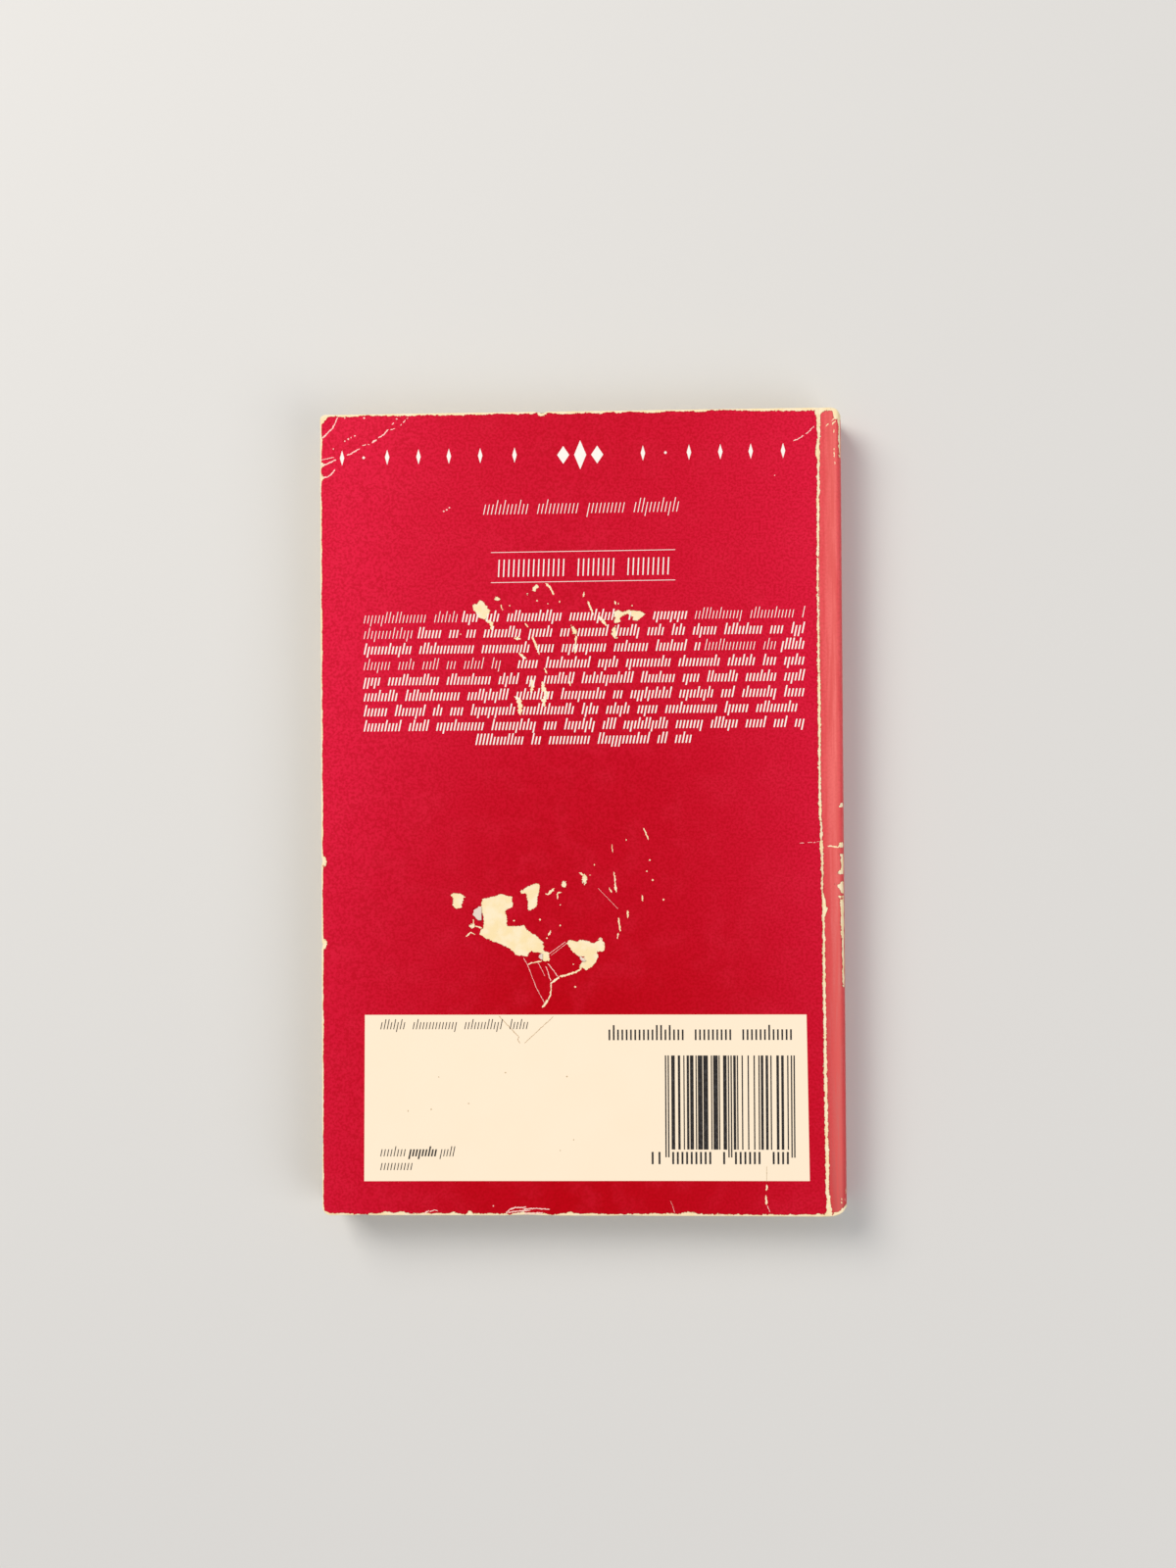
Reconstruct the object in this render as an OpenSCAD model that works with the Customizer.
// A paperback book, closed and lying on its front cover.
// X runs from the fore-edge to the spine, Y from the tail to the head, and Z from the front cover
// to the back cover. The origin is under the middle of the book, on the surface that it lies on.

/* [Book] */
// Width of the closed book, from the fore-edge to the outside of the spine
book_w = 129; // [105:0.5:160]
// Height of the book along its spine
book_h = 198; // [170:0.5:240]
// Thickness of the book over both covers, where the spine holds them
book_t = 12; // [8:0.25:24]

/* [Cover card] */
// Thickness of the cover card
card_t = 0.3; // [0.2:0.05:0.5]
// Distance of the hinge creases from the outside of the spine
crease_inset = 5.7; // [3.6:0.1:9]
// How far the free edge of the back cover springs up
cover_lift = 1.2; // [0:0.1:4]
// Radius of the worn corners at the fore-edge, seen from above
corner_r = 1.8; // [0.8:0.1:6]
// Gap round the rounded hinge edge of a cover
hinge_gap = 0.06; // [0.03:0.01:0.09]

/* [Spine] */
// How far the back of the spine rounds out past its two folds
spine_bulge = 0.5; // [0.2:0.05:1.5]
// Outside radius of the two folds, where the card turns from a hinge strip into the spine
fold_r = 1.2; // [0.8:0.1:2]
// Radius of the worn corners at the two ends of the spine, seen from above
spine_corner_r = 2.7; // [1.5:0.1:4]
// How far the round of a worn spine corner passes over the edges that it joins
corner_over = 0.2; // [0.1:0.05:0.4]
// Thickness of the glue between the spine card and the backs of the leaves
spine_glue_t = 0.4; // [0.2:0.05:1]
// Thickness of the glue under the hinge strips, and the gap between a cover and its nearest leaf
side_glue_t = 0.1; // [0.1:0.05:0.3]
// Gap between the glue and the leaves, which takes up their uneven backs
bond_gap = 0.02; // [0.01:0.01:0.05]

/* [Pages] */
// How far the leaves next to the back cover spring up with it at the fore-edge
page_lift = 0.8; // [0:0.1:1.2]
// How far the trimmed edges of the leaves stand back from the edges of the covers
page_inset = 0.2; // [0.1:0.05:0.6]
// Number of sections that the leaves were gathered in
sections = 10; // [4:1:20]
// Depth of the lines between the sections on the trimmed edges
section_line_d = 0.25; // [0.1:0.05:0.5]
// Width of the lines between the sections
section_line_w = 0.12; // [0.05:0.01:0.3]

/* [Hidden] */

$fn = 96;
arc_steps = 24;
cut_past = 1;

cover_red = [0.78, 0.05, 0.16];
spine_red = [0.86, 0.38, 0.36];
leaf_cream = [0.93, 0.88, 0.76];
glue_amber = [0.85, 0.78, 0.6];

// Fore-edge of the covers, crease and start of the folds, all along X
fore_x = -book_w / 2;
crease_x = book_w / 2 - crease_inset;
fold_x = book_w / 2 - spine_bulge - fold_r;
strip_x = crease_x + card_t + hinge_gap;

// The round back of the spine touches both folds from outside, so its radius follows from the bulge
fold_rise = book_t / 2 - fold_r;
back_r = fold_r + (fold_rise * fold_rise + spine_bulge * spine_bulge) / (2 * spine_bulge);
back_x = book_w / 2 - back_r;

// The leaves are all of one width, so their fore-edge is hollow by as much as the spine is round
page_edge = card_t + side_glue_t;
page_fore_x = fore_x + page_inset;
page_rise = book_t / 2 - page_edge;
hollow_r = (page_rise * page_rise + spine_bulge * spine_bulge) / (2 * spine_bulge);
hollow_x = page_fore_x + spine_bulge - hollow_r;
section_t = 2 * page_rise / sections;

// Places along X from a crease to the fore-edge
flap_xs = [for (i = [0 : arc_steps]) crease_x - i * (crease_x - fore_x) / arc_steps];

// Rise of a sheet that springs up by lift at the fore-edge: it grows as the square of the distance
// from the crease
function sprung(x, lift) = lift * pow((crease_x - x) / (crease_x - fore_x), 2);

// Where the hollow fore-edge of the leaves lies at a height
function hollow_at(z) = hollow_x + sqrt(hollow_r * hollow_r - pow(z - book_t / 2, 2));

// A profile in X and Z, carried along the height of the book and trimmed to length
module along_spine(length) {
    rotate([90, 0, 0])
        linear_extrude(height = length, center = true)
            children();
}

// The book seen from above, moved in by an amount, with round corners. It is open towards the spine.
// The round of a spine corner crosses the edges at a small angle, because one that only touched them
// would only touch the round back of the spine too
module plan(inset) {
    r = corner_r - inset;
    half_h = book_h / 2 - inset;
    left = fore_x + inset;
    spine_in = spine_corner_r - corner_over;
    spine_y = book_h / 2 - spine_in;
    translate([left, -half_h + r])
        square([book_w / 2 - spine_in - left, 2 * (half_h - r)]);
    translate([left + r, -half_h])
        square([book_w / 2 - spine_in - left - r, 2 * half_h]);
    translate([book_w / 2 - spine_in - cut_past, -spine_y])
        square([spine_in + 2 * cut_past, 2 * spine_y]);
    for (side = [-1, 1]) {
        translate([left + r, side * (half_h - r)])
            circle(r = r);
        intersection() {
            translate([book_w / 2 - spine_in, side * spine_y])
                circle(r = spine_corner_r - inset);
            translate([book_w / 2 - spine_in - cut_past, -half_h])
                square([book_w, 2 * half_h]);
        }
    }
}

// Keeps the part of a piece that lies within the plan of the book
module trimmed(inset) {
    intersection() {
        children();
        translate([0, 0, -cut_past])
            linear_extrude(height = book_t + cover_lift + 2 * cut_past)
                plan(inset);
    }
}

// The closed book seen from its tail, moved in by an amount: a slab, two round folds and a round back
module book_section(inset) {
    reach = 1.5 * back_r / (back_r - fold_r);
    translate([fore_x - cut_past, inset])
        square([fold_x - fore_x + cut_past, book_t - 2 * inset]);
    for (z = [fold_r, book_t - fold_r])
        translate([fold_x, z])
            circle(r = fold_r - inset);
    intersection() {
        translate([back_x, book_t / 2])
            circle(r = back_r - inset, $fn = 720);
        polygon([
            [back_x, book_t / 2],
            [back_x + reach * (fold_x - back_x), book_t / 2 - reach * fold_rise],
            [back_x + reach * (fold_x - back_x), book_t / 2 + reach * fold_rise]
        ]);
    }
}

// The leaves seen from their tail, grown at their backs by an amount: they lie further from the spine
// card than from the hinge strips, and the topmost ones spring up towards the fore-edge
module leaves_section(grow) {
    difference() {
        union() {
            translate([side_glue_t - spine_glue_t, 0])
                book_section(page_edge - grow);
            polygon(concat(
                [[crease_x, book_t / 2]],
                [for (x = flap_xs) [x, book_t - page_edge + sprung(x, page_lift)]],
                [[fore_x, book_t / 2]]
            ));
        }
        translate([hollow_x, book_t / 2])
            circle(r = hollow_r, $fn = 720);
    }
}

// Everything on the spine's side of the hinge edges
module beyond_hinge() {
    difference() {
        translate([crease_x, -cut_past])
            square([crease_inset + cut_past, book_t + 2 * cut_past]);
        for (z = [0, book_t])
            translate([crease_x, z])
                circle(r = card_t + hinge_gap);
    }
}

// A thin line cut all the way round the three trimmed edges, at one height
module section_line(z) {
    half_h = book_h / 2 - page_inset;
    translate([0, 0, z - section_line_w / 2]) {
        for (side = [-1, 1])
            translate([fore_x - cut_past, side * half_h - section_line_d, 0])
                cube([book_w + 2 * cut_past, 2 * section_line_d, section_line_w]);
        translate([fore_x - cut_past, -book_h / 2 - cut_past, 0])
            cube([hollow_at(z) - fore_x + cut_past + section_line_d, book_h + 2 * cut_past, section_line_w]);
    }
}

module text_block() {
    color(leaf_cream)
        difference() {
            trimmed(page_inset)
                along_spine(book_h - 2 * page_inset)
                    leaves_section(0);
            for (i = [1 : sections - 1])
                section_line(page_edge + i * section_t);
        }
}

module spine_glue() {
    color(glue_amber)
        trimmed(page_inset)
            along_spine(book_h - 2 * page_inset)
                difference() {
                    intersection() {
                        book_section(card_t);
                        translate([strip_x, 0])
                            square([book_w, book_t]);
                    }
                    leaves_section(bond_gap);
                }
}

module spine_wrap() {
    color(spine_red)
        trimmed(0)
            along_spine(book_h)
                intersection() {
                    difference() {
                        book_section(0);
                        book_section(card_t);
                    }
                    beyond_hinge();
                }
}

// A cover seen from the tail, with its outer face up, level with 0 at the crease and sprung up by lift
// at the fore-edge. Its hinge edge is rounded about the crease, which lies in the outer face
module cover_section(lift) {
    outer = [for (x = flap_xs) [x, sprung(x, lift)]];
    inner = [for (i = [arc_steps : -1 : 0]) outer[i] - [0, card_t]];
    polygon(concat(outer, inner));
    intersection() {
        translate([crease_x, 0])
            circle(r = card_t);
        translate([crease_x - card_t / 2, -card_t])
            square([2 * card_t, card_t]);
    }
}

module front_cover() {
    color(cover_red)
        trimmed(0)
            along_spine(book_h)
                mirror([0, 1])
                    cover_section(0);
}

module back_cover() {
    color(cover_red)
        trimmed(0)
            along_spine(book_h)
                translate([0, book_t])
                    cover_section(cover_lift);
}

text_block();
spine_glue();
spine_wrap();
front_cover();
back_cover();
